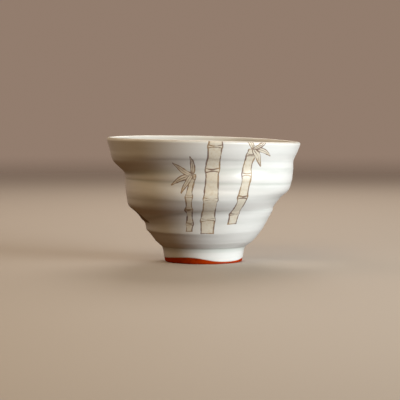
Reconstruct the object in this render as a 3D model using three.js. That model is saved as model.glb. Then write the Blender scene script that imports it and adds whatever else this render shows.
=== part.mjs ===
// A hand-thrown porcelain sake cup: a low foot ring, a body that climbs in uneven throwing
// ridges, and a thin flaring lip that dips to one side. It is one solid, hollow and empty.
//
// Units are millimetres and +Z is up. The origin is the centre of the foot ring's underside,
// where the cup stands. The painted face looks along -Y.

import * as THREE from "three";

// Overall sizes
const RIM_DIAMETER = 75;
const CUP_HEIGHT = 47.5; // to the crown of the lip, on average round the cup
const FOOT_DIAMETER = 30; // of the standing ring
const FOOT_HEIGHT = 5.4; // up to the neck, where the body begins

// Foot
const FOOT_FLARE = 0.75; // the neck is this much wider than the standing ring, on each side
const FOOT_RING_WIDTH = 2.8;
const FOOT_EDGE = 0.55; // rounding of the ring's two lower edges
const RECESS_DEPTH = 2.6; // of the turned hollow inside the foot ring
const RECESS_BOSS = 0.6; // the small cone that the turning tool leaves in the middle
const BOSS_REACH = 0.4; // where that cone begins, as a share of the way out to the ring
// The foot's slight waist: how far up it lies, as a share of the foot's height, and how far out,
// as a share of the flare.
const FOOT_WAIST = [
  { rise: 0.45, flare: 0.3 },
  { rise: 0.86, flare: 0.7 },
];

// Clay
const WALL = 2.7; // in the body
const LIP_WALL = 1.7; // just under the lip
const FLOOR_WALL = 3.4; // from the recess up to the inside floor
// How the inside floor rounds up into the wall: shares of the way out to where the wall begins, of
// the way up to it, and of its lean.
const FLOOR_CURVE = [
  { out: 0.32, up: 0.03, lean: 0 },
  { out: 0.7, up: 0.28, lean: 0.5 },
];

// Throwing ridges, from just above the neck to just under the lip. Each ring is a near-circle.
// rise is its share of the way up from the neck to the lip, and spread its share of the way out
// from the neck's radius to the lip's. The rest are shares of the lip's radius: lean, how far the
// ring's centre is pushed towards +X, tilt, how much higher its +X side stands than its -X side,
// and saddle, how much higher its front and back stand than its two sides.
const RINGS = [
  { name: "belly above the foot", rise: 0.074, spread: 0.163, lean: 0.008, tilt: 0, saddle: 0 },
  { name: "lower ridge", rise: 0.161, spread: 0.283, lean: 0.015, tilt: 0, saddle: 0 },
  { name: "lower hollow", rise: 0.254, spread: 0.38, lean: 0.03, tilt: 0.035, saddle: 0.002 },
  { name: "lower swell", rise: 0.328, spread: 0.484, lean: 0.01, tilt: 0.008, saddle: 0.004 },
  { name: "middle ridge", rise: 0.384, spread: 0.563, lean: -0.025, tilt: -0.011, saddle: 0.006 },
  { name: "middle ledge", rise: 0.466, spread: 0.648, lean: 0.001, tilt: 0, saddle: 0.01 },
  { name: "shoulder", rise: 0.537, spread: 0.728, lean: 0.038, tilt: 0, saddle: 0.014 },
  { name: "wide ridge", rise: 0.626, spread: 0.76, lean: 0.051, tilt: 0, saddle: 0.018 },
  { name: "upper hollow", rise: 0.713, spread: 0.777, lean: 0.049, tilt: 0.026, saddle: 0.024 },
  { name: "upper step", rise: 0.771, spread: 0.834, lean: 0.018, tilt: 0.025, saddle: 0.03 },
  { name: "lip crease", rise: 0.826, spread: 0.895, lean: -0.008, tilt: 0.004, saddle: 0.034 },
  { name: "lip flare", rise: 0.904, spread: 0.95, lean: 0, tilt: -0.021, saddle: 0.024 },
];
const LIP_TILT = -0.051; // the lip's own tilt and saddle, as shares of its radius
const LIP_SADDLE = 0.014;

// Fineness of the mesh
const SEGMENTS = 56; // around the cup
const OUTER_STEPS = 3; // from ring to ring on the outside
const INNER_STEPS = 2; // and on the inside
const LIP_STEPS = 4; // over the crown of the lip
const EDGE_STEPS = 2; // over each rounded edge of the foot

const RIM_RADIUS = RIM_DIAMETER / 2;
const FOOT_RADIUS = FOOT_DIAMETER / 2;
const NECK_RADIUS = FOOT_RADIUS + FOOT_FLARE;
const LIP_ROUND = LIP_WALL / 2;

// A station is one point of the profile with what the hand did to it: radius r and height z on
// average round the cup, and lean, tilt and saddle in millimetres.
const station = (r, z, lean = 0, tilt = 0, saddle = 0) => ({ r, z, lean, tilt, saddle });

// Applies one function to every number of several stations at once.
function blend(stations, mix) {
  const made = {};
  for (const key of Object.keys(stations[0])) made[key] = mix(...stations.map((s) => s[key]));
  return made;
}

// A smooth line through the stations, with the given number of steps from one to the next.
function smoothLine(stations, steps) {
  const at = (i) => stations[THREE.MathUtils.clamp(i, 0, stations.length - 1)];
  const line = [];
  for (let i = 0; i < stations.length - 1; i++)
    for (let k = 0; k < steps; k++) {
      const t = k / steps;
      const catmullRom = (a, b, c, d) =>
        b + 0.5 * t * (c - a + t * (2 * a - 5 * b + 4 * c - d + t * (3 * (b - c) + d - a)));
      line.push(blend([at(i - 1), at(i), at(i + 1), at(i + 2)], catmullRom));
    }
  line.push(at(stations.length - 1));
  return line;
}

// The unit vector that points out of the clay at station i of an upward line.
function outward(stations, i) {
  const below = stations[Math.max(i - 1, 0)];
  const above = stations[Math.min(i + 1, stations.length - 1)];
  return new THREE.Vector2(above.z - below.z, below.r - above.r).normalize();
}

// The crown of the lip: a half-round whose middle is set so that the cup has its full width and
// height. side is 0 where the crown meets the outside and 1 where it meets the inside.
function lipPoint(side) {
  const last = RINGS[RINGS.length - 1];
  const run = (1 - last.spread) * (RIM_RADIUS - NECK_RADIUS);
  const climb = (1 - last.rise) * (CUP_HEIGHT - FOOT_HEIGHT);
  const angle = side * Math.PI - Math.atan2(run, climb);
  return station(
    RIM_RADIUS - LIP_ROUND + LIP_ROUND * Math.cos(angle),
    CUP_HEIGHT - LIP_ROUND + LIP_ROUND * Math.sin(angle),
    0,
    LIP_TILT * RIM_RADIUS,
    LIP_SADDLE * RIM_RADIUS,
  );
}

// The stations of the outside, from the neck up to where the lip's crown begins.
function outerStations() {
  const rings = RINGS.map((ring) =>
    station(
      THREE.MathUtils.lerp(NECK_RADIUS, RIM_RADIUS, ring.spread),
      THREE.MathUtils.lerp(FOOT_HEIGHT, CUP_HEIGHT, ring.rise),
      ring.lean * RIM_RADIUS,
      ring.tilt * RIM_RADIUS,
      ring.saddle * RIM_RADIUS,
    ),
  );
  return [station(NECK_RADIUS, FOOT_HEIGHT), ...rings, lipPoint(0)];
}

// The stations of the inside, from the middle of the floor up to the lip: the outside's own
// ridges, softened, set back by the wall, with a floor that rounds up into them.
function innerStations(outer) {
  const floor = RECESS_DEPTH + FLOOR_WALL;
  const soft = outer.map((here, i) => {
    const below = outer[Math.max(i - 1, 0)];
    const above = outer[Math.min(i + 1, outer.length - 1)];
    return blend([below, here, above], (a, b, c) => (a + 2 * b + c) / 4);
  });
  const walls = soft.slice(1, -1).map((here, i) => {
    const out = outward(soft, i + 1);
    const thickness = THREE.MathUtils.lerp(WALL, LIP_WALL, ((i + 1) / soft.length) ** 2);
    return { ...here, r: here.r - thickness * out.x, z: here.z - thickness * out.y };
  });
  const heel = walls[0];
  const curve = FLOOR_CURVE.map(({ out, up, lean }) =>
    station(heel.r * out, THREE.MathUtils.lerp(floor, heel.z, up), heel.lean * lean),
  );
  return [station(0, floor), ...curve, ...walls, lipPoint(1)];
}

// The foot, from just below the neck down, across the standing ring and into the recess.
function footStations() {
  const inner = FOOT_RADIUS - FOOT_RING_WIDTH;
  const round = (centre, from) =>
    Array.from({ length: EDGE_STEPS + 1 }, (_, k) => {
      const angle = from - ((k / EDGE_STEPS) * Math.PI) / 2;
      return station(
        centre + FOOT_EDGE * Math.cos(angle),
        FOOT_EDGE + FOOT_EDGE * Math.sin(angle),
      );
    });
  const waist = FOOT_WAIST.map(({ rise, flare }) =>
    station(FOOT_RADIUS + FOOT_FLARE * flare, FOOT_HEIGHT * rise),
  );
  return [
    ...waist.reverse(),
    ...round(FOOT_RADIUS - FOOT_EDGE, 0),
    ...round(inner + FOOT_EDGE, -Math.PI / 2),
    station(inner - FOOT_EDGE, RECESS_DEPTH),
    station(inner * BOSS_REACH, RECESS_DEPTH),
    station(0, RECESS_DEPTH - RECESS_BOSS),
  ];
}

// The whole profile, from the middle of the inside floor, up over the lip, and down the outside
// and the foot to the middle of the recess.
function profile() {
  const outer = outerStations();
  const crown = [];
  for (let k = 1; k < LIP_STEPS; k++) crown.push(lipPoint(1 - k / LIP_STEPS));
  return [
    ...smoothLine(innerStations(outer), INNER_STEPS),
    ...crown,
    ...smoothLine(outer, OUTER_STEPS).reverse(),
    ...footStations(),
  ];
}

// Turns the profile on the wheel, and then lets each ring lean, tilt and saddle.
function thrownGeometry(stations) {
  const points = stations.map((s) => new THREE.Vector2(s.r, s.z));
  const geometry = new THREE.LatheGeometry(points.reverse(), SEGMENTS);
  const position = geometry.getAttribute("position");
  const last = stations.length - 1;
  for (let i = 0; i < position.count; i++) {
    const s = stations[last - (i % stations.length)];
    const turn = (Math.floor(i / stations.length) / SEGMENTS) * 2 * Math.PI;
    const side = Math.sin(turn); // 1 on the +X side and -1 on the -X side
    position.setXYZ(
      i,
      s.r * side + s.lean,
      -s.r * Math.cos(turn),
      s.z + (s.tilt / 2) * side + s.saddle * (1 - side * side) - s.saddle / 2,
    );
  }
  geometry.computeVertexNormals();
  return geometry;
}

const glaze = new THREE.MeshStandardMaterial({ color: 0xe9e8e2, roughness: 0.28, metalness: 0 });
const cup = new THREE.Mesh(thrownGeometry(profile()), glaze);
cup.name = "cup";

const sakeCup = new THREE.Group();
sakeCup.add(cup);

export default sakeCup;
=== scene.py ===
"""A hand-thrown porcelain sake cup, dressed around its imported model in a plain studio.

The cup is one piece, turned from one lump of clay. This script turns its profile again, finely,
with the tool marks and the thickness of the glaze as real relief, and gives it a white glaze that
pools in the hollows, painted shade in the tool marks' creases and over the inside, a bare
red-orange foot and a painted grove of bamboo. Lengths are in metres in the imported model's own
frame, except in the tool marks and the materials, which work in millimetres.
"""

import logging
import math
from dataclasses import dataclass, field
from enum import Enum
from typing import NamedTuple

import bmesh
import bpy
from mathutils import Matrix, Vector, noise


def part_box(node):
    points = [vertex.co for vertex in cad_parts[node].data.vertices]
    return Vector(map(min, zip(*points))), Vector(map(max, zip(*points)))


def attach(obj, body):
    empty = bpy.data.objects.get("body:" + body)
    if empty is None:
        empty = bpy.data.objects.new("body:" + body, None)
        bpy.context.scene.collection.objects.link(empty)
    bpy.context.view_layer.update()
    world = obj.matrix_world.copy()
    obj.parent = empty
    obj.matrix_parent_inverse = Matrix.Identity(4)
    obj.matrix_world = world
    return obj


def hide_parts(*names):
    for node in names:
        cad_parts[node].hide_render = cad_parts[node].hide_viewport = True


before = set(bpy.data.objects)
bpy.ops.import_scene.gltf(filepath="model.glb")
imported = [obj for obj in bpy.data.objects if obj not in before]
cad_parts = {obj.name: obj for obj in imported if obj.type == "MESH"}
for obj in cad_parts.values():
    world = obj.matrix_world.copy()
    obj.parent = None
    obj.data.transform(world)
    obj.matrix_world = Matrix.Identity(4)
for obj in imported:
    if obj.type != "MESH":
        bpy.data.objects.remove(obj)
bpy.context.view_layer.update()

LOG = logging.getLogger("sake_cup")
MM = 0.001


class Station(NamedTuple):
    """One point of the thrown profile, with what the hand did to the ring of clay there."""

    radius: float
    height: float
    lean: float = 0.0
    tilt: float = 0.0
    saddle: float = 0.0


class Ring(NamedTuple):
    """A throwing ridge, in shares: of the way up and out from neck to lip, and of the lip's radius."""

    rise: float
    spread: float
    lean: float
    tilt: float
    saddle: float


class Side(Enum):
    """Which stretch of the profile a station belongs to."""

    RECESS = "recess"
    FOOT = "foot"
    OUTSIDE = "outside"
    LIP = "lip"
    INSIDE = "inside"


def lerp(low: float, high: float, share: float) -> float:
    """Returns the value that lies that share of the way from low to high."""
    return low + (high - low) * share


def smoothstep(low: float, high: float, value: float) -> float:
    """Returns 0 below low, 1 above high and an easy curve between them."""
    share = min(max((value - low) / (high - low), 0.0), 1.0)
    return share * share * (3 - 2 * share)


def unevenness(turn: float, along: float, tightness: float = 1.0) -> float:
    """Returns smooth noise, between -1 and 1, that closes on itself round the cup."""
    return noise.noise(Vector((math.cos(turn) * tightness, math.sin(turn) * tightness, along)))


def put_in_scene(name: str, data: bpy.types.ID) -> bpy.types.Object:
    """Makes an object of a mesh, a light or a camera, and returns it."""
    made = bpy.data.objects.new(name, data)
    bpy.context.scene.collection.objects.link(made)
    return made


def finish_mesh(name: str, bm: bmesh.types.BMesh) -> bpy.types.Object:
    """Makes an object of a bmesh, which is freed, and returns it."""
    mesh = bpy.data.meshes.new(name)
    bm.to_mesh(mesh)
    bm.free()
    return put_in_scene(name, mesh)


def catmull_rom(t: float, before: float, start: float, end: float, after: float) -> float:
    """Returns a smooth curve's value at the share t of the way from start to end."""
    bend = 2 * before - 5 * start + 4 * end - after
    twist = 3 * (start - end) + after - before
    return start + 0.5 * t * (end - before + t * (bend + t * twist))


def smooth_line(stations: list[Station], spacing: float) -> list[Station]:
    """Draws one smooth line through the stations.

    Args:
        stations: The points that the line passes through.
        spacing: About how far apart the line's own points are.

    Returns:
        The line's points, with the first and the last station at its ends.
    """
    last = len(stations) - 1
    line = []
    for i in range(last):
        four = [stations[min(max(i + k, 0), last)] for k in (-1, 0, 1, 2)]
        span = math.hypot(four[2].radius - four[1].radius, four[2].height - four[1].height)
        steps = max(1, math.ceil(span / spacing))
        for k in range(steps):
            line.append(Station(*(catmull_rom(k / steps, *values) for values in zip(*four))))
    line.append(stations[last])
    return line


@dataclass
class Profile:
    """The cup's section from the middle of the recess, round the foot, up, over the lip and in.

    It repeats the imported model's sizes and ridges, so the fine piece lies where the solid does.
    Only the neck's crease is set a little further out and up, and floor_curve, foot_waist and
    recess_curve are shares: of the way out, of the way up, and of the lean or the edge's rounding.
    """

    lip_radius: float
    lip_top: float
    foot_radius: float = 15 * MM
    foot_height: float = 5.4 * MM
    foot_flare: float = 0.75 * MM
    foot_ring: float = 2.8 * MM
    foot_edge: float = 0.55 * MM
    foot_waist: tuple[tuple[float, float], ...] = ((0.42, 0.45), (1.0, 0.86))
    neck_out: float = 0.42 * MM
    neck_up: float = 0.45 * MM
    recess_depth: float = 2.6 * MM
    recess_boss: float = 0.6 * MM
    recess_curve: tuple[tuple[float, float], ...] = ((2.6, 1.0), (1.1, 0.93), (0.4, 0.6))
    wall: float = 2.7 * MM
    lip_wall: float = 1.7 * MM
    floor_wall: float = 3.4 * MM
    floor_curve: tuple[tuple[float, float, float], ...] = ((0.7, 0.28, 0.5), (0.32, 0.03, 0.0))
    lip_tilt: float = -0.051
    lip_saddle: float = 0.014
    rings: tuple[Ring, ...] = (
        Ring(0.074, 0.163, 0.008, 0, 0),
        Ring(0.161, 0.283, 0.015, 0, 0),
        Ring(0.254, 0.38, 0.03, 0.035, 0.002),
        Ring(0.328, 0.484, 0.01, 0.008, 0.004),
        Ring(0.384, 0.563, -0.025, -0.011, 0.006),
        Ring(0.466, 0.648, 0.001, 0, 0.01),
        Ring(0.537, 0.728, 0.038, 0, 0.014),
        Ring(0.626, 0.76, 0.051, 0, 0.018),
        Ring(0.713, 0.777, 0.049, 0.026, 0.024),
        Ring(0.771, 0.834, 0.018, 0.025, 0.03),
        Ring(0.826, 0.895, -0.008, 0.004, 0.034),
        Ring(0.904, 0.95, 0, -0.021, 0.024),
    )
    outside_spacing: float = 0.24 * MM
    inside_spacing: float = 0.5 * MM
    foot_spacing: float = 0.36 * MM
    crown_steps: int = 10
    edge_steps: int = 5

    @property
    def neck_radius(self) -> float:
        """Returns the radius where the foot meets the body."""
        return self.foot_radius + self.foot_flare

    @property
    def recess_radius(self) -> float:
        """Returns the standing ring's inner radius."""
        return self.foot_radius - self.foot_ring

    @property
    def mean_height(self) -> float:
        """Returns the lip's height on average round the cup."""
        high_side = self.lip_radius * (abs(self.lip_tilt) / 2 - self.lip_saddle / 2)
        return self.lip_top - high_side

    def at_height(self, rise: float) -> float:
        """Returns the height that lies that share of the way up from neck to lip."""
        return lerp(self.foot_height, self.mean_height, rise)

    def neck(self) -> Station:
        """Returns the neck's own crease, which the glaze sets a little further out and up."""
        return Station(self.neck_radius + self.neck_out, self.foot_height + self.neck_up)

    def lip_point(self, side: float) -> Station:
        """Gives a point of the lip's half-round crown.

        Args:
            side: 0 where the crown meets the outside and 1 where it meets the inside.

        Returns:
            The station there.
        """
        last = self.rings[-1]
        run = (1 - last.spread) * (self.lip_radius - self.neck_radius)
        climb = (1 - last.rise) * (self.mean_height - self.foot_height)
        angle = side * math.pi - math.atan2(run, climb)
        half = self.lip_wall / 2
        return Station(
            self.lip_radius - half + half * math.cos(angle),
            self.mean_height - half + half * math.sin(angle),
            0.0,
            self.lip_tilt * self.lip_radius,
            self.lip_saddle * self.lip_radius,
        )

    def outside(self) -> list[Station]:
        """Returns the stations of the outside, from the neck up to the lip's crown."""
        size = self.lip_radius
        rings = [
            Station(
                lerp(self.neck_radius, size, ring.spread),
                self.at_height(ring.rise),
                ring.lean * size,
                ring.tilt * size,
                ring.saddle * size,
            )
            for ring in self.rings
        ]
        return [self.neck(), *rings, self.lip_point(0)]

    def inside(self) -> list[Station]:
        """Returns the stations of the inside, from the lip's crown down to the middle of the floor."""
        outer = self.outside()
        floor = self.recess_depth + self.floor_wall
        last = len(outer) - 1
        soft = []
        for i, here in enumerate(outer):
            three = zip(outer[max(i - 1, 0)], here, outer[min(i + 1, last)])
            soft.append(Station(*((a + 2 * b + c) / 4 for a, b, c in three)))
        walls = []
        for below, here, above in zip(soft[:-2], soft[1:-1], soft[2:]):
            out = Vector((above.height - below.height, below.radius - above.radius)).normalized()
            share = (len(walls) + 1) / (last + 1)
            thickness = lerp(self.wall, self.lip_wall, share**2)
            radius, height = here.radius - thickness * out.x, here.height - thickness * out.y
            walls.append(here._replace(radius=radius, height=height))
        heel = walls[0]
        curve = [
            Station(heel.radius * out, lerp(floor, heel.height, up), heel.lean * lean)
            for out, up, lean in self.floor_curve
        ]
        return [self.lip_point(1), *reversed(walls), *curve, Station(0.0, floor)]

    def foot(self) -> list[Station]:
        """Returns the stations of the foot, from the standing ring's outer edge up to the neck."""
        edge = self.foot_edge
        round_edge = [
            Station(self.foot_radius - edge + edge * math.sin(turn), edge - edge * math.cos(turn))
            for turn in self.quarter()
        ]
        waist = [
            Station(self.foot_radius + self.foot_flare * out, self.foot_height * up)
            for out, up in self.foot_waist
        ]
        wall = smooth_line([round_edge[-1], *waist, self.neck()], self.foot_spacing)
        return [*round_edge[:-1], *wall[:-1]]

    def recess(self) -> list[Station]:
        """Returns the stations of the recess, from its middle out to the standing ring."""
        inner, edge = self.recess_radius, self.foot_edge
        depth, boss = self.recess_depth, self.recess_boss
        hollow = [
            Station(0.0, depth - boss),
            Station(inner * 0.1, depth - boss * 0.8),
            Station(inner * 0.4, depth),
            *(Station(inner - edge * away, depth * up) for away, up in self.recess_curve),
            Station(inner, edge),
        ]
        round_edge = [
            Station(inner + edge - edge * math.cos(turn), edge - edge * math.sin(turn))
            for turn in self.quarter()
        ]
        face = [round_edge[-1], Station(self.foot_radius - edge, 0.0)]
        return [
            *smooth_line(hollow, self.foot_spacing)[:-1],
            *round_edge[:-1],
            *smooth_line(face, self.foot_spacing)[:-1],
        ]

    def quarter(self) -> list[float]:
        """Returns the angles of a rounded edge's points, over a quarter turn."""
        return [k / self.edge_steps * math.pi / 2 for k in range(self.edge_steps + 1)]

    def line(self) -> list[tuple[Station, Side]]:
        """Returns the whole section, each point with the stretch that it belongs to."""
        crown = [self.lip_point(k / self.crown_steps) for k in range(1, self.crown_steps)]
        stretches = (
            (Side.RECESS, self.recess()),
            (Side.FOOT, self.foot()),
            (Side.OUTSIDE, smooth_line(self.outside(), self.outside_spacing)),
            (Side.LIP, crown),
            (Side.INSIDE, smooth_line(self.inside(), self.inside_spacing)),
        )
        return [(station, side) for side, stations in stretches for station in stations]


@dataclass(frozen=True)
class ToolMark:
    """A crease that the potter's rib left round the outside, or a ridge where it sinks by less than 0.

    rise is its share of the way up from neck to lip, and the lengths are in millimetres. sinks are
    how deep it is on the -X side, in front and behind, and on the +X side, reaches how far it fades
    above and below, and edge how rounded its bottom is. The last two numbers say how far glaze and
    painted shade fill the crease, and over what width.
    """

    rise: float
    sinks: tuple[float, float, float]
    reaches: tuple[float, float]
    tilt: float = 0.0
    saddle: float = 0.0
    wander: float = 0.0
    edge: float = 0.2
    pool_and_shade: float = 0.0
    pool_and_shade_width: float = 0.55

    def sink(self, away: float, turn: float) -> tuple[float, float]:
        """Works out how deep the mark is at a point.

        Args:
            away: How far up the profile the point lies from the mark, on average round the cup.
            turn: The point's angle round the cup, 0 in front and growing towards +X.

        Returns:
            The depth along the surface's normal, and how far glaze and painted shade fill the mark
            there.
        """
        side = math.sin(turn)
        left, front, right = self.sinks
        depth = front + side * (right - left) / 2 + side * side * ((right + left) / 2 - front)
        away -= self.tilt / 2 * side + self.saddle * (0.5 - side * side)
        away -= self.wander * unevenness(turn, self.rise * 36, 0.9)
        reach = self.reaches[0] if away > 0 else self.reaches[1]
        sunk = depth * math.exp((self.edge - math.hypot(away, self.edge)) / reach)
        return sunk, self.pool_and_shade * math.exp(-((away / self.pool_and_shade_width) ** 2))


@dataclass(frozen=True)
class GlazeEdge:
    """The wavy line on the foot where the glaze stops, over the bare clay.

    Each wave has its count round the cup, its size and the angle of its crest in degrees.
    """

    mean: float = 1.55 * MM
    waves: tuple[tuple[int, float, float], ...] = (
        (1, 0.42 * MM, -72.0),
        (2, 0.30 * MM, -52.0),
        (3, 0.33 * MM, -18.0),
        (4, 0.16 * MM, -20.0),
        (7, 0.06 * MM, 40.0),
    )
    bead: float = 0.13 * MM
    bead_reach: float = 0.7 * MM
    roll: float = 0.22 * MM
    coat: float = 0.35

    def height(self, turn: float) -> float:
        """Returns the height of the glaze's edge at that angle round the foot."""
        return self.mean + sum(
            size * math.cos(count * (turn - math.radians(crest))) for count, size, crest in self.waves
        )

    def offset(self, above: float) -> float:
        """Returns how far the glaze stands out, at that distance above its edge."""
        if above <= 0:
            return 0.0
        swell = lerp(self.coat, 1.0, math.exp(-above / self.bead_reach))
        return self.bead * smoothstep(0, self.roll, above) * swell


@dataclass
class ThrownCup:
    """The cup's own mesh: the profile spun round, then leaned, tilted and marked as by hand."""

    profile: Profile
    glaze_edge: GlazeEdge = field(default_factory=GlazeEdge)
    segments: int = 216
    marks: tuple[ToolMark, ...] = (
        # This first mark has no depth. It only lays glaze pooling and painted shade along the neck's
        # crease.
        ToolMark(0.0, (0, 0, 0), (1.0, 1.0), pool_and_shade=0.3),
        ToolMark(0.171, (-0.75, -0.5, -0.1), (2.9, 1.8), 0, -0.6, 0.1, edge=0.5),
        ToolMark(0.313, (0.35, 1.4, 0.15), (3.7, 4.3), 2.8, 1.0, edge=0.9),
        ToolMark(0.339, (-0.5, 0.3, -0.25), (2.3, 1.1), 4.1, 1.7, 0.1, 0.3, pool_and_shade=0.6, pool_and_shade_width=0.8),
        ToolMark(0.484, (-0.1, -1.7, 0), (7.0, 6.8), -3.4, -0.8, edge=1.0),
        ToolMark(0.576, (-0.3, 1.1, 0), (4.0, 2.1), -4.5, -1.3, edge=0.85),
        ToolMark(0.619, (0.28, 0.24, 0.1), (0.6, 2.7), -1.8, -0.4, edge=0.4, pool_and_shade=0.8),
        ToolMark(0.754, (0.3, 0.75, -0.3), (2.3, 2.7), -0.9, 0.7, edge=1.0),
        ToolMark(0.818, (0.2, 0.45, -0.1), (1.3, 2.5), -1.2, -1.0, edge=0.4, pool_and_shade=0.5),
    )
    mark_fade_below_lip: float = 4 * MM
    mark_fade_above_foot: float = 3 * MM
    outside_swell: float = 0.06 * MM
    outside_ripple: float = 0.022 * MM
    lip_swell: float = 0.03 * MM
    inside_pitch: float = 3.3 * MM
    inside_ripple: float = 0.11 * MM
    inside_swell: float = 0.08 * MM
    recess_pitch: float = 1.15 * MM
    recess_ripple: float = 0.035 * MM
    hollow_reach: float = 1.6 * MM
    hollow_depth: float = 0.08 * MM
    hollow_pool: float = 0.6
    edge_zone: float = 4 * MM
    deep_in_glaze: float = 5 * MM
    bare_clay: float = -1 * MM
    ring_overlap: float = 0.1 * MM
    recess_share: float = 0.6
    points: list[tuple[Station, Side]] = field(init=False)
    runs: list[float] = field(init=False)
    starts: dict[Side, float] = field(init=False)

    def __post_init__(self) -> None:
        """Draws the section, and measures how far along it each point and each stretch lies."""
        self.points = self.profile.line()
        self.runs = [0.0]
        for (a, _), (b, _) in zip(self.points[:-1], self.points[1:]):
            self.runs.append(self.runs[-1] + math.hypot(b.radius - a.radius, b.height - a.height))
        self.starts = {}
        for run, (_, side) in zip(self.runs, self.points):
            self.starts.setdefault(side, run)

    def build(self) -> bpy.types.Object:
        """Makes the cup.

        Returns:
            The finished object, with its run and glazed attributes and one for glaze pooling and
            painted crease shade.
        """
        bm = bmesh.new()
        passing, kept = ("lean", "tilt", "saddle", "out", "up"), ("run", "glazed", "pool_and_shade")
        layers = {name: bm.verts.layers.float.new(name) for name in passing + kept}
        self.draw_section(bm, layers)
        bmesh.ops.spin(
            bm,
            geom=bm.verts[:] + bm.edges[:],
            cent=(0, 0, 0),
            axis=(0, 0, 1),
            angle=2 * math.pi,
            steps=self.segments,
            use_merge=True,
        )
        bmesh.ops.remove_doubles(bm, verts=bm.verts[:], dist=0.001 * MM)
        bmesh.ops.recalc_face_normals(bm, faces=bm.faces[:])
        self.shape_by_hand(bm, layers)
        for name in passing:
            bm.verts.layers.float.remove(bm.verts.layers.float[name])
        for face in bm.faces:
            face.smooth = True
        return finish_mesh("thrown_cup", bm)

    def draw_section(self, bm: bmesh.types.BMesh, layers: dict) -> None:
        """Puts the profile in the bmesh as a chain of edges, each point with its own numbers.

        Args:
            bm: The mesh that takes the chain.
            layers: The vertex layer of each number, by its name.
        """
        chain = []
        for i, (station, _) in enumerate(self.points):
            vert = bm.verts.new((0.0, -station.radius, station.height))
            along = self.along(i)
            vert[layers["lean"]] = station.lean
            vert[layers["tilt"]] = station.tilt
            vert[layers["saddle"]] = station.saddle
            vert[layers["out"]] = along.y
            vert[layers["up"]] = -along.x
            vert[layers["run"]] = self.runs[i]
            vert[layers["pool_and_shade"]] = self.hollowness(i)
            chain.append(vert)
        for start, end in zip(chain[:-1], chain[1:]):
            bm.edges.new((start, end))

    def along(self, i: int) -> Vector:
        """Returns which way the section runs at its point i: how far out and how far up."""
        before = self.points[max(i - 1, 0)][0]
        after = self.points[min(i + 1, len(self.points) - 1)][0]
        return Vector((after.radius - before.radius, after.height - before.height)).normalized()

    def hollowness(self, i: int) -> float:
        """Tells how hollow the section is at a point.

        Args:
            i: The point's place in the section.

        Returns:
            Near 1 in a hollow, where glaze pools, and near -1 on a ridge, where it is thin.
        """
        here, along = self.points[i][0], self.along(i)
        pairs = zip(self.points, self.runs)
        near = [point for (point, _), run in pairs if abs(run - self.runs[i]) < self.hollow_reach]
        mean_radius = sum(point.radius for point in near) / len(near)
        mean_height = sum(point.height for point in near) / len(near)
        stands = (mean_radius - here.radius) * along.y - (mean_height - here.height) * along.x
        return min(max(stands / self.hollow_depth, -1.0), 1.0)

    def mark_runs(self) -> list[float]:
        """Returns where along the section each tool mark lies."""
        pairs = zip(self.points, self.runs)
        outer = [(point.height, run) for (point, side), run in pairs if side is Side.OUTSIDE]
        found = []
        for mark in self.marks:
            height = self.profile.at_height(mark.rise)
            found.append(min(outer, key=lambda pair: abs(pair[0] - height))[1])
        return found

    def shape_by_hand(self, bm: bmesh.types.BMesh, layers: dict) -> None:
        """Moves each vertex of the true turned shape by its relief, and then leans its ring.

        Args:
            bm: The spun mesh.
            layers: The vertex layer of each number, by its name.
        """
        middles = self.mark_runs()
        for vert in bm.verts:
            radius = math.hypot(vert.co.x, vert.co.y)
            turn = math.atan2(vert.co.x, -vert.co.y)
            side = math.sin(turn)
            run = vert[layers["run"]]
            sunk, pooled_and_shaded = self.mark_sink(run, turn, middles)
            move = self.relief(run, turn, radius) - sunk
            above = self.deep_in_glaze
            if run < self.starts[Side.OUTSIDE] + self.edge_zone:
                above = self.above_edge(run, turn, radius, vert.co.z)
                move += self.glaze_edge.offset(above)
            vert[layers["glazed"]] = above
            # glaze pooling in the hollows, plus painted shade in the tool marks' creases
            pool_and_shade = vert[layers["pool_and_shade"]] * self.hollow_pool + pooled_and_shaded
            vert[layers["pool_and_shade"]] = min(max(pool_and_shade, -1.0), 1.0)
            radius += move * vert[layers["out"]]
            height = vert.co.z + move * vert[layers["up"]]
            saddle = vert[layers["saddle"]]
            vert.co = (
                radius * side + vert[layers["lean"]],
                -radius * math.cos(turn),
                height + vert[layers["tilt"]] / 2 * side + saddle * (0.5 - side * side),
            )

    def above_edge(self, run: float, turn: float, radius: float, height: float) -> float:
        """Works out how far above the glaze's edge a point of the foot or the recess lies.

        Args:
            run: Where it lies along the section.
            turn: Its angle round the cup.
            radius: Its distance from the axis.
            height: Its height.

        Returns:
            The distance, less than 0 on the bare clay.
        """
        edge = self.glaze_edge.height(turn)
        if run >= self.starts[Side.FOOT]:
            return height - edge
        inwards = self.profile.recess_radius - radius
        if inwards < -2 * self.ring_overlap:
            return self.bare_clay
        return max(inwards + self.ring_overlap, height - edge * self.recess_share)

    def mark_sink(self, run: float, turn: float, middles: list[float]) -> tuple[float, float]:
        """Works out how deep the tool marks sink into the outside.

        Args:
            run: Where the point lies along the section.
            turn: Its angle round the cup.
            middles: Where each tool mark lies.

        Returns:
            The depth along the surface's normal, and how far glaze and painted shade fill the marks
            there.
        """
        from_foot, from_lip = run - self.starts[Side.FOOT], self.starts[Side.LIP] - run
        if from_foot <= 0 or from_lip <= 0:
            return 0.0, 0.0
        found = [mark.sink((run - middle) / MM, turn) for mark, middle in zip(self.marks, middles)]
        fade = smoothstep(0, self.mark_fade_below_lip, from_lip)
        fade *= smoothstep(0, self.mark_fade_above_foot, from_foot)
        return fade * MM * sum(sunk for sunk, _ in found), fade * sum(pooled_and_shaded for _, pooled_and_shaded in found)

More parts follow.
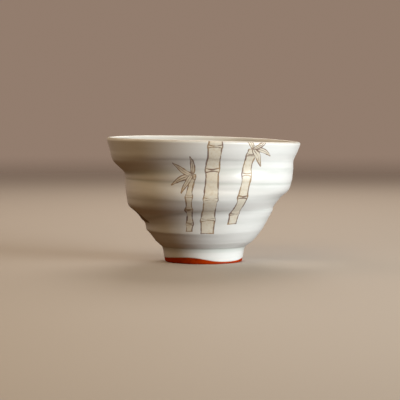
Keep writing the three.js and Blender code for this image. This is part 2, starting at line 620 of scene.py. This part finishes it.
    def relief(self, run: float, turn: float, radius: float) -> float:
        """Works out how far the hand's slight unevenness moves the surface outwards.

        Args:
            run: Where the point lies along the section.
            turn: Its angle round the cup.
            radius: Its distance from the axis.

        Returns:
            The move along the surface's normal.
        """
        foot, lip, inside = (self.starts[side] for side in (Side.FOOT, Side.LIP, Side.INSIDE))
        if run < foot:
            fade = smoothstep(0, 2 * MM, radius) * smoothstep(0, 1.5 * MM, foot - run - 4 * MM)
            return self.recess_ripple * fade * math.cos(run / self.recess_pitch * 2 * math.pi + turn)
        if run < lip:
            fade = smoothstep(0.6 * MM, 4 * MM, min(run - foot, lip - run))
            swell = self.outside_swell * unevenness(turn, run * 160, 1.3)
            ripple = self.outside_ripple * unevenness(turn, run * 900 + turn * 0.05, 0.7)
            return fade * (swell + ripple)
        if run < inside:
            return self.lip_swell * unevenness(turn, 7.0, 2.5)
        down = run - inside
        fade = smoothstep(1 * MM, 6 * MM, down) * smoothstep(0.5 * MM, 4 * MM, radius)
        phase = down / self.inside_pitch * 2 * math.pi - turn
        ripple = self.inside_ripple * (0.75 + 0.5 * unevenness(turn, down * 90)) * math.sin(phase)
        return fade * (ripple + self.inside_swell * unevenness(turn, 50 + down * 120, 1.2))


@dataclass
class Wire:
    """A value that varies over the surface: one socket, with Python's own operators on it."""

    graph: "Graph"
    socket: bpy.types.NodeSocket | None

    def output(self, which: int | str) -> "Wire":
        """Returns another output of the node that the value comes from."""
        return Wire(self.graph, self.socket.node.outputs[which])

    def math(self, operation: str, *others: "Wire | float", clamp: bool = False) -> "Wire":
        """Adds one Math node and returns its result, with this value before the others in it."""
        return self.graph.math(operation, self, *others, clamp=clamp)

    def __add__(self, other: "Wire | float") -> "Wire":
        """Returns the sum."""
        return self.math("ADD", other)

    __radd__ = __add__

    def __sub__(self, other: "Wire | float") -> "Wire":
        """Returns the difference."""
        return self.math("SUBTRACT", other)

    def __rsub__(self, other: float) -> "Wire":
        """Returns the difference, the other way round."""
        return self.graph.math("SUBTRACT", other, self)

    def __mul__(self, other: "Wire | float") -> "Wire":
        """Returns the product."""
        return self.math("MULTIPLY", other)

    __rmul__ = __mul__

    def __truediv__(self, other: "Wire | float") -> "Wire":
        """Returns the quotient."""
        return self.math("DIVIDE", other)

    def __neg__(self) -> "Wire":
        """Returns the value with its sign turned."""
        return self.math("MULTIPLY", -1.0)

    def __abs__(self) -> "Wire":
        """Returns the value without its sign."""
        return self.math("ABSOLUTE")

    def smaller(self, other: "Wire | float") -> "Wire":
        """Returns the smaller of the two values."""
        return self.math("MINIMUM", other)

    def larger(self, other: "Wire | float") -> "Wire":
        """Returns the larger of the two values."""
        return self.math("MAXIMUM", other)

    def clamped(self) -> "Wire":
        """Returns the value, kept between 0 and 1."""
        return self.math("ADD", 0.0, clamp=True)

    def step(self, low: float, high: float) -> "Wire":
        """Returns 0 at low and 1 at high, with an easy curve between. low may be the larger one."""
        return self.graph.node(
            "ShaderNodeMapRange",
            {"interpolation_type": "SMOOTHSTEP"},
            {"Value": self, "From Min": low, "From Max": high},
        )


class Graph:
    """The node tree of a material or of the world, and the short ways of adding to it."""

    def __init__(self, owner: bpy.types.Material | bpy.types.World) -> None:
        """Empties the owner's tree."""
        owner.use_nodes = True
        self.tree = owner.node_tree
        self.tree.nodes.clear()

    def node(
        self,
        kind: str,
        settings: dict | None = None,
        sockets: dict | None = None,
        output: int | str | None = 0,
    ) -> Wire:
        """Adds any node.

        Args:
            kind: The node's type.
            settings: Its own settings, which are set first.
            sockets: A value or a wire for each input, by its name or number.
            output: Which of its outputs is wanted, or None where it has none.

        Returns:
            That output.
        """
        made = self.tree.nodes.new(kind)
        for name, value in (settings or {}).items():
            setattr(made, name, value)
        for name, value in (sockets or {}).items():
            if isinstance(value, Wire):
                self.tree.links.new(value.socket, made.inputs[name])
            else:
                made.inputs[name].default_value = value
        return Wire(self, None if output is None else made.outputs[output])

    def math(self, operation: str, *values: Wire | float, clamp: bool = False) -> Wire:
        """Adds one Math node and returns its result, with its values in the node's own order."""
        settings = {"operation": operation, "use_clamp": clamp}
        return self.node("ShaderNodeMath", settings, dict(enumerate(values)))

    def blend(self, under: Wire | tuple, over: Wire | tuple, share: Wire | float) -> Wire:
        """Returns two colours mixed, with that share of the second one, between 0 and 1."""
        settings = {"data_type": "RGBA", "clamp_factor": True}
        return self.node("ShaderNodeMix", settings, {0: share, 6: under, 7: over}, 2)

    def attribute(self, name: str) -> Wire:
        """Returns a number that the mesh carries."""
        return self.node("ShaderNodeAttribute", {"attribute_name": name}, output="Fac")

    def noise(self, place: Wire, scale: float, detail: float = 2.0, rough: float = 0.5) -> Wire:
        """Returns a Noise Texture's grey value, where scale is its waves in one unit of the place."""
        sockets = {"Vector": place, "Scale": scale, "Detail": detail, "Roughness": rough}
        return self.node("ShaderNodeTexNoise", {}, sockets, "Fac")


@dataclass(frozen=True)
class GlazeFinish:
    """The white glaze: its colour, how it changes where it is thick or thin, the painted shade over the
    inside and in the creases, and its gloss.
    """

    white: tuple = (0.80, 0.795, 0.765, 1.0)
    # darker, cooler glaze where it pools, also used as painted shade in the tool marks' creases
    pooled_and_shaded: tuple = (0.57, 0.60, 0.55, 1.0)
    thin: tuple = (0.83, 0.80, 0.74, 1.0)
    lip_edge: tuple = (0.62, 0.55, 0.44, 1.0)
    # painted shade: a darker, browner tone laid over the whole inside
    inside: tuple = (0.47, 0.445, 0.39, 1.0)
    speck: tuple = (0.20, 0.11, 0.05, 1.0)
    rough: float = 0.28
    coat: float = 0.3
    coat_rough: float = 0.28
    refraction: float = 1.5
    peel: float = 0.02


@dataclass(frozen=True)
class ClayFinish:
    """The bare clay of the foot, flashed red-orange in the kiln."""

    bright: tuple = (0.40, 0.034, 0.001, 1.0)
    deep: tuple = (0.17, 0.010, 0.001, 1.0)
    fringe: tuple = (0.42, 0.20, 0.09, 1.0)
    fringe_width: float = 0.38
    rough: float = 0.9
    shine: float = 0.03
    grit: float = 0.06


@dataclass(frozen=True)
class BrushFinish:
    """The painter's colours, under the glaze, and how deep a brush line lies."""

    wash: tuple = (0.75, 0.685, 0.56, 1.0)
    wash_deep: tuple = (0.62, 0.50, 0.345, 1.0)
    line: tuple = (0.115, 0.036, 0.016, 1.0)
    line_gold: tuple = (0.30, 0.165, 0.05, 1.0)
    dark: tuple = (0.045, 0.014, 0.006, 1.0)
    line_depth: float = 0.006


@dataclass(frozen=True)
class Culm:
    """One bamboo stem, painted up the outside.

    foot and top are (angle round the cup in degrees, height up the wall in mm).
    """

    foot: tuple[float, float]
    top: tuple[float, float]
    width: float
    joint_gap: float
    first_joint: float


@dataclass(frozen=True)
class Leaf:
    """One bamboo leaf: where it grows from, which way it points, and its size in mm."""

    root: tuple[float, float]
    points: float
    length: float
    width: float
    bend: float = 0.0
    dark: bool = False


@dataclass
class Surface:
    """Where a point lies on the cup, as wires that the material's parts share."""

    graph: Graph
    point: Wire
    run: Wire
    angle: Wire
    degree: Wire
    climb: Wire
    press: Wire

    @classmethod
    def read(cls, graph: Graph, neck_run: float, stray: float = 1.1) -> "Surface":
        """Reads the place from the object's own coordinates and the mesh's run attribute.

        Args:
            graph: The material's tree.
            neck_run: Where along the section the outside begins, in mm.
            stray: How far the painter's hand strays over the cup, in mm.

        Returns:
            The wires. angle is in degrees, and degree is one degree's length in mm.
        """
        coordinates = graph.node("ShaderNodeTexCoord", output="Object")
        to_millimetres = {0: coordinates, "Scale": 1 / MM}
        point = graph.node("ShaderNodeVectorMath", {"operation": "SCALE"}, to_millimetres)
        x = graph.node("ShaderNodeSeparateXYZ", {}, {0: point})
        y = x.output(1)
        slow = graph.noise(point, 0.13, 1.0).output("Color")
        aside = graph.node("ShaderNodeSeparateColor", {}, {0: slow})
        upwards = aside.output(1)
        degree = (x * x + y * y).math("SQRT") * (math.pi / 180)
        angle = graph.math("ARCTAN2", x, -y) * (180 / math.pi) + (aside - 0.5) * stray / degree
        run = graph.attribute("run") / MM
        climb = run - neck_run + (upwards - 0.5) * stray
        press = graph.noise(point, 0.3, 2.0, 0.55).step(0.28, 0.66) * 1.15 + 0.18
        return cls(graph, point, run, angle, degree, climb, press)

    def cloud(self, scale: float, detail: float = 2.0, rough: float = 0.5) -> Wire:
        """Returns noise over the cup, with that many waves in a millimetre."""
        return self.graph.noise(self.point, scale, detail, rough)


@dataclass
class Painting:
    """A grove of bamboo on the outside, as masks of wash, dark wash and line.

    Heights are climbs: millimetres along the outside's own section from the neck.
    """

    line_width: float = 0.25
    line_softness: float = 0.07
    joint_reach: float = 1.6
    joint_swell: float = 0.28
    joint_bow: float = 0.16
    joint_ring: float = 0.28
    stem_waist: float = 0.14
    culms: tuple[Culm, ...] = (
        Culm((-14.0, 10.0), (-7.5, 34.0), 2.3, 6.6, 13.0),
        Culm((26.0, 12.5), (30.0, 45.0), 3.6, 8.4, 17.0),
        Culm((3.5, 9.0), (8.0, 60.0), 5.0, 10.4, 14.5),
    )
    leaves: tuple[Leaf, ...] = (
        Leaf((-7.5, 34.0), 205.0, 9.5, 1.9, 0.5),
        Leaf((-7.5, 34.0), 238.0, 8.0, 1.7, 0.3),
        Leaf((-7.6, 34.0), 150.0, 8.5, 1.6, -0.6),
        Leaf((-7.3, 34.2), 95.0, 7.0, 1.5, 0.3),
        Leaf((30.0, 45.0), -20.0, 9.5, 2.0, -0.6),
        Leaf((30.0, 45.0), -58.0, 10.0, 2.1, -0.4),
        Leaf((30.2, 45.0), 35.0, 8.0, 1.7, 0.4),
        Leaf((29.8, 45.2), 128.0, 7.0, 1.6, 0.5),
        Leaf((-90.0, 20.6), -37.0, 12.6, 6.0, 0.3, True),
        Leaf((-95.0, 18.6), 258.0, 11.5, 3.6, -0.3, True),
        Leaf((-94.0, 20.0), 190.0, 13.0, 3.8, 0.5, True),
        Leaf((-94.5, 19.2), 224.0, 12.0, 3.2, -0.4, True),
        Leaf((-94.0, 20.4), 112.0, 8.5, 2.6, 0.4, True),
    )

    def paint(self, place: Surface) -> tuple[Wire, Wire, Wire]:
        """Draws the grove, each motif over the ones before it.

        Args:
            place: Where the point lies on the cup.

        Returns:
            The masks of the wash, of the dark wash and of the brush lines.
        """
        wash = dark = line = place.graph.math("ADD", 0.0, 0.0)
        drawn = [(*self.draw_culm(culm, place), False) for culm in self.culms]
        drawn += [(*self.draw_leaf(leaf, place), leaf.dark) for leaf in self.leaves]
        for body, strokes, is_dark in drawn:
            if is_dark:
                dark = dark.larger(body)
            else:
                wash = wash.larger(body)
            line = (line * (1 - body)).larger(strokes)
        return wash, dark, line

    def stroke(self, away: Wire, place: Surface, weight: float = 1.0) -> Wire:
        """Returns a brush line's mask, where away is how far its middle lies, in mm."""
        half = place.press * (self.line_width * weight)
        return (half - abs(away)).step(-self.line_softness, self.line_softness)

    def draw_culm(self, culm: Culm, place: Surface) -> tuple[Wire, Wire]:
        """Draws one stem with its joints.

        Args:
            culm: The stem.
            place: Where the point lies on the cup.

        Returns:
            The masks of its wash and of its lines.
        """
        slope = (culm.top[0] - culm.foot[0]) / (culm.top[1] - culm.foot[1])
        above_foot = place.climb - culm.foot[1]
        across = (place.angle - (above_foot * slope + culm.foot[0])) * place.degree
        phase = ((place.climb - culm.first_joint) / culm.joint_gap).math("PINGPONG", 0.5)
        from_joint = phase * culm.joint_gap
        half = culm.width / 2
        swell = from_joint.step(self.joint_reach, 0.0) * self.joint_swell
        waist = from_joint.step(0.0, culm.joint_gap / 2) * self.stem_waist
        away = abs(across) - (half + swell - waist)
        ends = above_foot.smaller(culm.top[1] - place.climb)
        body = away.larger(-ends).step(0.08, -0.08)
        bowed = from_joint - (across * across) * (self.joint_bow / half)
        ring = self.stroke(bowed - self.joint_ring, place, 0.75) * away.step(0.25, 0.0)
        foot_line = self.stroke(ends, place, 0.9) * away.step(0.15, -0.1)
        lines = self.stroke(away, place).larger(ring).larger(foot_line)
        return body, lines * ends.step(-0.3, 0.0)

    def draw_leaf(self, leaf: Leaf, place: Surface) -> tuple[Wire, Wire]:
        """Draws one leaf with its outline and its middle vein.

        Args:
            leaf: The leaf.
            place: Where the point lies on the cup.

        Returns:
            The masks of its wash and of its lines.
        """
        right = (place.angle - leaf.root[0]) * place.degree
        up = place.climb - leaf.root[1]
        cosine, sine = math.cos(math.radians(leaf.points)), math.sin(math.radians(leaf.points))
        along = right * cosine + up * sine
        across = up * cosine - right * sine
        share = (along / leaf.length).clamped()
        bowed = across + share * (1 - share) * (4 * leaf.bend)
        taper = share.math("SQRT") * (1 - share) * (leaf.width * 1.3)
        away = abs(bowed) - taper
        within = along.smaller(leaf.length - along).step(-0.15, 0.1)
        body = away.step(0.06, -0.06) * within
        vein = self.stroke(bowed, place, 0.45) * share.step(0.85, 0.6)
        return body, self.stroke(away, place, 0.85).larger(vein) * within


@dataclass
class CupFinish:
    """The whole cup's material: glaze, painting and bare foot in one."""

    glaze: GlazeFinish = field(default_factory=GlazeFinish)
    clay: ClayFinish = field(default_factory=ClayFinish)
    brush: BrushFinish = field(default_factory=BrushFinish)
    painting: Painting = field(default_factory=Painting)

    def dress(self, cup: bpy.types.Object, starts: dict[Side, float]) -> None:
        """Gives the cup its material.

        Args:
            cup: The cup's object.
            starts: Where each stretch of the section begins, in metres.
        """
        material = bpy.data.materials.new("glazed_porcelain")
        graph = Graph(material)
        outside, lip, inside = (starts[side] / MM for side in (Side.OUTSIDE, Side.LIP, Side.INSIDE))
        place = Surface.read(graph, outside)
        glazed = graph.attribute("glazed") / MM
        colour = self.glaze_colour(place, lip, inside)
        on_outside = place.run.step(outside - 0.2, outside + 0.2) * place.run.step(lip + 0.9, lip + 0.5)
        wash, dark, line = (mask * on_outside for mask in self.painting.paint(place))
        colour = self.paint_colour(place, colour, wash, dark, line)
        fringe = glazed.step(self.clay.fringe_width, 0.0) * 0.55
        bare = (glazed + (place.cloud(1.4, 3.0) - 0.5) * 0.16).step(0.05, -0.05)
        skin = self.skin(place, bare, line)
        glaze = {
            "Base Color": graph.blend(colour, self.clay.fringe, fringe),
            "Roughness": place.cloud(0.35) * 0.08 + self.glaze.rough + wash * 0.08 + line * 0.10,
            "Coat Weight": self.glaze.coat,
            "Coat Roughness": self.glaze.coat_rough,
            "Coat IOR": self.glaze.refraction,
            "IOR": self.glaze.refraction,
            "Normal": skin,
        }
        clay = {
            "Base Color": self.clay_colour(place),
            "Roughness": self.clay.rough,
            "Specular IOR Level": self.clay.shine,
            "Normal": skin,
        }
        shaders = [graph.node("ShaderNodeBsdfPrincipled", {}, sockets) for sockets in (glaze, clay)]
        both = graph.node("ShaderNodeMixShader", {}, {0: bare, 1: shaders[0], 2: shaders[1]})
        graph.node("ShaderNodeOutputMaterial", {}, {"Surface": both}, None)
        cup.data.materials.clear()
        cup.data.materials.append(material)

    def glaze_colour(self, place: Surface, lip: float, inside: float) -> Wire:
        """Colours the glaze: cooler and darker where it pools and, as painted shade, in the tool marks'
        creases and over the inside, and warmer where it is thin.

        Args:
            place: Where the point lies.
            lip: Where the lip's crown begins, in mm.
            inside: Where the inside begins, in mm.

        Returns:
            The colour.
        """
        graph = place.graph
        pool_and_shade = graph.attribute("pool_and_shade")
        drawn_out = {0: place.point, 1: (0.12, 0.12, 0.9)}
        streak_place = graph.node("ShaderNodeVectorMath", {"operation": "MULTIPLY"}, drawn_out)
        streak = graph.noise(streak_place, 1.0, 3.0)
        # glaze pooling in the hollows, plus painted shade darkening the tool marks' creases
        thick = pool_and_shade.clamped() * 0.8 + (place.cloud(0.07, 3.0) - 0.5) * 0.5 + (streak - 0.5) * 0.5
        colour = graph.blend(self.glaze.white, self.glaze.pooled_and_shaded, thick.clamped())
        thin = (-pool_and_shade).clamped() * 0.55 + (0.5 - streak) * 0.35
        colour = graph.blend(colour, self.glaze.thin, thin.clamped())
        # painted shade: the inside is darkened towards the inside colour
        within = place.run.step(inside - 0.4, inside + 0.4) * 0.6
        colour = graph.blend(colour, self.glaze.inside, within)
        ragged = abs(place.run - (lip + inside) / 2) + (place.cloud(0.6, 3.0) - 0.5) * 1.2
        colour = graph.blend(colour, self.glaze.lip_edge, ragged.step(1.15, 0.25) * 0.4)
        return self.specks(place, colour)

    def specks(self, place: Surface, colour: Wire) -> Wire:
        """Scatters a few iron specks in the glaze.

        Args:
            place: Where the point lies.
            colour: The colour under them.

        Returns:
            The colour with the specks.
        """
        graph = place.graph
        cells = {"Vector": place.point, "Scale": 0.17, "Randomness": 1.0}
        distance = graph.node("ShaderNodeTexVoronoi", {"feature": "F1"}, cells, "Distance")
        chance = graph.node("ShaderNodeSeparateColor", {}, {0: distance.output("Color")})
        rare = chance.step(0.62, 0.66)
        size = chance.output(1) * 0.022 + 0.012
        spot = (size - distance).step(-0.012, 0.012) * rare
        return graph.blend(colour, self.glaze.speck, spot * 0.7)

    def paint_colour(self, place: Surface, colour: Wire, wash: Wire, dark: Wire, line: Wire) -> Wire:
        """Lays the painter's colours over the glaze.

        Args:
            place: Where the point lies.
            colour: The colour under the paint.
            wash: The pale wash's mask.
            dark: The dark wash's mask.
            line: The brush lines' mask.

        Returns:
            The painted colour.
        """
        graph, brush = place.graph, self.brush
        mottle = place.cloud(0.9, 4.0, 0.65)
        tan = graph.blend(brush.wash, brush.wash_deep, mottle.step(0.42, 0.75) * 0.6)
        colour = graph.blend(colour, tan, wash * (mottle.step(0.2, 0.5) * 0.35 + 0.6))
        colour = graph.blend(colour, brush.dark, dark * (0.97 - mottle * 0.2))
        ink = graph.blend(brush.line, brush.line_gold, place.cloud(0.22, 1.0).step(0.42, 0.62))
        return graph.blend(colour, ink, line * (mottle * 0.3 + 0.68))

    def clay_colour(self, place: Surface) -> Wire:
        """Returns the bare clay's colour, which is mottled and grainy."""
        mottle = place.cloud(0.55, 4.0, 0.6).step(0.45, 0.75) * 0.75
        earth = place.graph.blend(self.clay.bright, self.clay.deep, mottle)
        return place.graph.blend(earth, self.clay.deep, place.cloud(4.0).step(0.6, 0.75) * 0.4)

    def skin(self, place: Surface, bare: Wire, line: Wire) -> Wire:
        """Makes the fine unevenness of the surface.

        Args:
            place: Where the point lies.
            bare: The bare clay's mask.
            line: The brush lines' mask.

        Returns:
            The bumped normal.
        """
        peel = place.cloud(0.22, 1.0) * self.glaze.peel * (1 - bare)
        grit = place.cloud(3.2, 3.0, 0.7) * (bare * self.clay.grit)
        height = peel + grit - line * self.brush.line_depth
        sockets = {"Strength": 1.0, "Distance": MM, "Height": height}
        return place.graph.node("ShaderNodeBump", {}, sockets)


class Lamp(NamedTuple):
    """A soft light aimed at the cup.

    azimuth is where it hangs, in degrees from in front of the cup towards +X, elevation how high,
    and size its width and its height.
    """

    name: str
    azimuth: float
    elevation: float
    size: tuple[float, float]
    watts: float
    colour: tuple[float, float, float]


@dataclass
class Studio:
    """The plain stage: a pale floor, soft light and the camera.

    Each band of the air has its colour and between which heights of the view it comes in.
    """

    floor_colour: tuple = (0.52, 0.455, 0.39, 1.0)
    floor_radius: float = 1.3
    ground_colour: tuple = (0.075, 0.032, 0.008, 1.0)
    air: tuple[tuple[tuple, float, float], ...] = (
        ((0.29, 0.205, 0.155, 1.0), -0.22, -0.06),
        ((0.04, 0.024, 0.012, 1.0), 0.06, 0.25),
    )
    camera_place: tuple = (-1.36 * MM, -700 * MM, 64.4 * MM)
    camera_aim: tuple = (-1.36 * MM, 0.0, 23.7 * MM)
    lens: float = 162.5
    lamp_aim: tuple = (0.0, 0.0, 25 * MM)
    lamp_distance: float = 0.62
    lamps: tuple[Lamp, ...] = (
        Lamp("key", 58.0, 8.0, (0.4, 0.18), 5.3, (0.93, 0.985, 1.0)),
        Lamp("fill", -28.0, 45.0, (0.36, 0.36), 0.95, (1.0, 0.71, 0.36)),
        Lamp("side", -115.0, 45.0, (0.36, 0.36), 1.0, (1.0, 0.82, 0.66)),
        Lamp("back", 172.0, 38.0, (0.36, 0.36), 1.6, (1.0, 0.9, 0.8)),
    )

    def build(self) -> None:
        """Makes the stage, the lights and the camera."""
        self.make_camera()
        self.make_floor()
        self.make_world()
        for lamp in self.lamps:
            self.hang(lamp)

    def make_camera(self) -> None:
        """Makes the camera, at the eye that saw the cup."""
        data = bpy.data.cameras.new("camera")
        data.lens = self.lens
        data.clip_start = 0.01
        camera = put_in_scene("camera", data)
        place = Vector(self.camera_place)
        turn = (Vector(self.camera_aim) - place).to_track_quat("-Z", "Y")
        camera.matrix_world = Matrix.LocRotScale(place, turn, None)
        bpy.context.scene.camera = camera

    def hang(self, lamp: Lamp) -> None:
        """Hangs one light.

        Args:
            lamp: The light.
        """
        data = bpy.data.lights.new(lamp.name, "AREA")
        data.shape = "RECTANGLE"
        data.size, data.size_y = lamp.size
        data.energy = lamp.watts
        data.color = lamp.colour
        light = put_in_scene(lamp.name, data)
        around, up = math.radians(lamp.azimuth), math.radians(lamp.elevation)
        level = math.cos(up)
        back = Vector((math.sin(around) * level, -math.cos(around) * level, math.sin(up)))
        place = Vector(self.lamp_aim) + back * self.lamp_distance
        light.matrix_world = Matrix.LocRotScale(place, (-back).to_track_quat("-Z", "Y"), None)
        light.visible_camera = False

    def make_floor(self) -> None:
        """Makes the floor, one plain disc that fades into the air of the studio at its edge."""
        bm = bmesh.new()
        bmesh.ops.create_circle(bm, cap_ends=True, radius=self.floor_radius, segments=96)
        bmesh.ops.recalc_face_normals(bm, faces=bm.faces[:])
        floor = finish_mesh("studio_floor", bm)
        material = bpy.data.materials.new("studio_paper")
        graph = Graph(material)
        coordinates = graph.node("ShaderNodeTexCoord", output="Object")
        away = graph.node("ShaderNodeVectorMath", {"operation": "LENGTH"}, {0: coordinates}, "Value")
        shown = away.step(self.floor_radius, self.floor_radius * 0.1)
        sockets = {"Base Color": self.floor_colour, "Roughness": 0.7, "Alpha": shown}
        paper = graph.node("ShaderNodeBsdfPrincipled", {}, sockets)
        graph.node("ShaderNodeOutputMaterial", {}, {"Surface": paper}, None)
        floor.data.materials.append(material)
        floor.visible_diffuse = False
        floor.visible_glossy = False

    def make_world(self) -> None:
        """Makes the soft light that comes from all round."""
        world = bpy.data.worlds.new("studio_air")
        bpy.context.scene.world = world
        graph = Graph(world)
        direction = graph.node("ShaderNodeTexCoord", output="Generated")
        up = graph.node("ShaderNodeSeparateXYZ", {}, {0: direction}, "Z")
        colour = self.ground_colour
        for band, low, high in self.air:
            sockets = {"Value": up, "From Min": low, "From Max": high}
            colour = graph.blend(colour, band, graph.node("ShaderNodeMapRange", {}, sockets))
        light = graph.node("ShaderNodeBackground", {}, {"Color": colour})
        graph.node("ShaderNodeOutputWorld", {}, {"Surface": light}, None)


def main() -> None:
    """Builds the cup and the studio, and logs the cup's face count and where its outside begins."""
    low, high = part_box("cup")
    thrown = ThrownCup(Profile(lip_radius=(high.x - low.x) / 2, lip_top=high.z))
    cup = thrown.build()
    outside = thrown.starts[Side.OUTSIDE] / MM
    LOG.info("thrown_cup: %d faces, outside from %.1f mm", len(cup.data.polygons), outside)
    CupFinish().dress(cup, thrown.starts)
    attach(cup, "root")
    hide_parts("cup")
    LOG.info("thrown_cup: dressed in %s", cup.data.materials[0].name)
    Studio().build()
    bpy.context.scene.view_settings.view_transform = "Standard"


if __name__ == "__main__":
    logging.basicConfig(level=logging.INFO, format="%(name)s: %(message)s")
    main()
